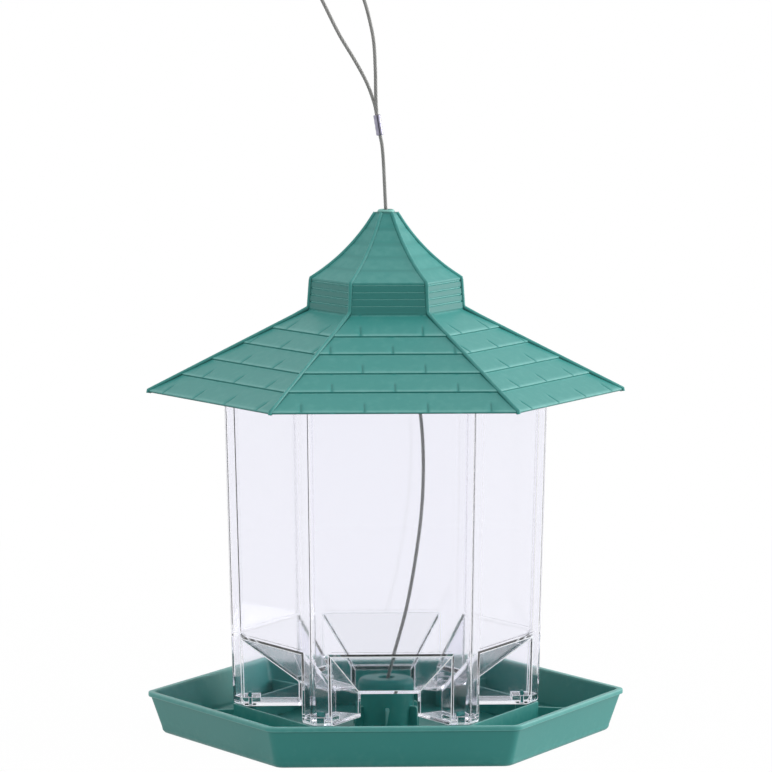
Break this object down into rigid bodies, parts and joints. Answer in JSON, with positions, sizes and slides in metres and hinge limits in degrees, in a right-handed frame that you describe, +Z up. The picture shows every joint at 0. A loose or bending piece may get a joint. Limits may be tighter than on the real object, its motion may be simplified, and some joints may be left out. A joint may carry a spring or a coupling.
{
  "type": "hanging bird feeder",
  "caption": "Hexagonal gazebo feeder: a clear seed hopper with feeding alcoves stands in an open tray under a shingled roof that slides up a looped wire rope.",
  "frame": {"origin": "centre of the tray's flat bottom", "axes": "+Z up through the post, the hopper and the roof's tip; one flat side of the tray faces -Y and two corners lie on the X axis"},
  "size_m": [0.2386, 0.2078, 0.3984],
  "materials": {
    "green_plastic": "moulded, satin gloss",
    "clear_plastic": "clear moulded plastic, polished",
    "bush_plastic": "smooth",
    "wire_rope": "stranded steel",
    "crimp_metal": "crimped, satin",
    "washer_steel": "zinc plated"
  },
  "bodies": {
    "base": {"tray": "green_plastic", "hopper": "clear_plastic"},
    "roof_cap": {"roof": "green_plastic", "roof_bush": "bush_plastic"},
    "rope": {"cable": "wire_rope", "loop_ferrule": "crimp_metal", "anchor_ferrule": "crimp_metal", "anchor_washer": "washer_steel"}
  },
  "joints": [
    {"name": "roof_lift", "type": "slide", "parent": "base", "child": "roof_cap", "axis": [0, 0, 1], "range_m": [0, 0.032]},
    {"name": "rope_swivel", "type": "hinge", "parent": "base", "child": "rope", "pos_m": [0, 0, 0.027], "axis": [0, 0, 1], "continuous": true}
  ]
}
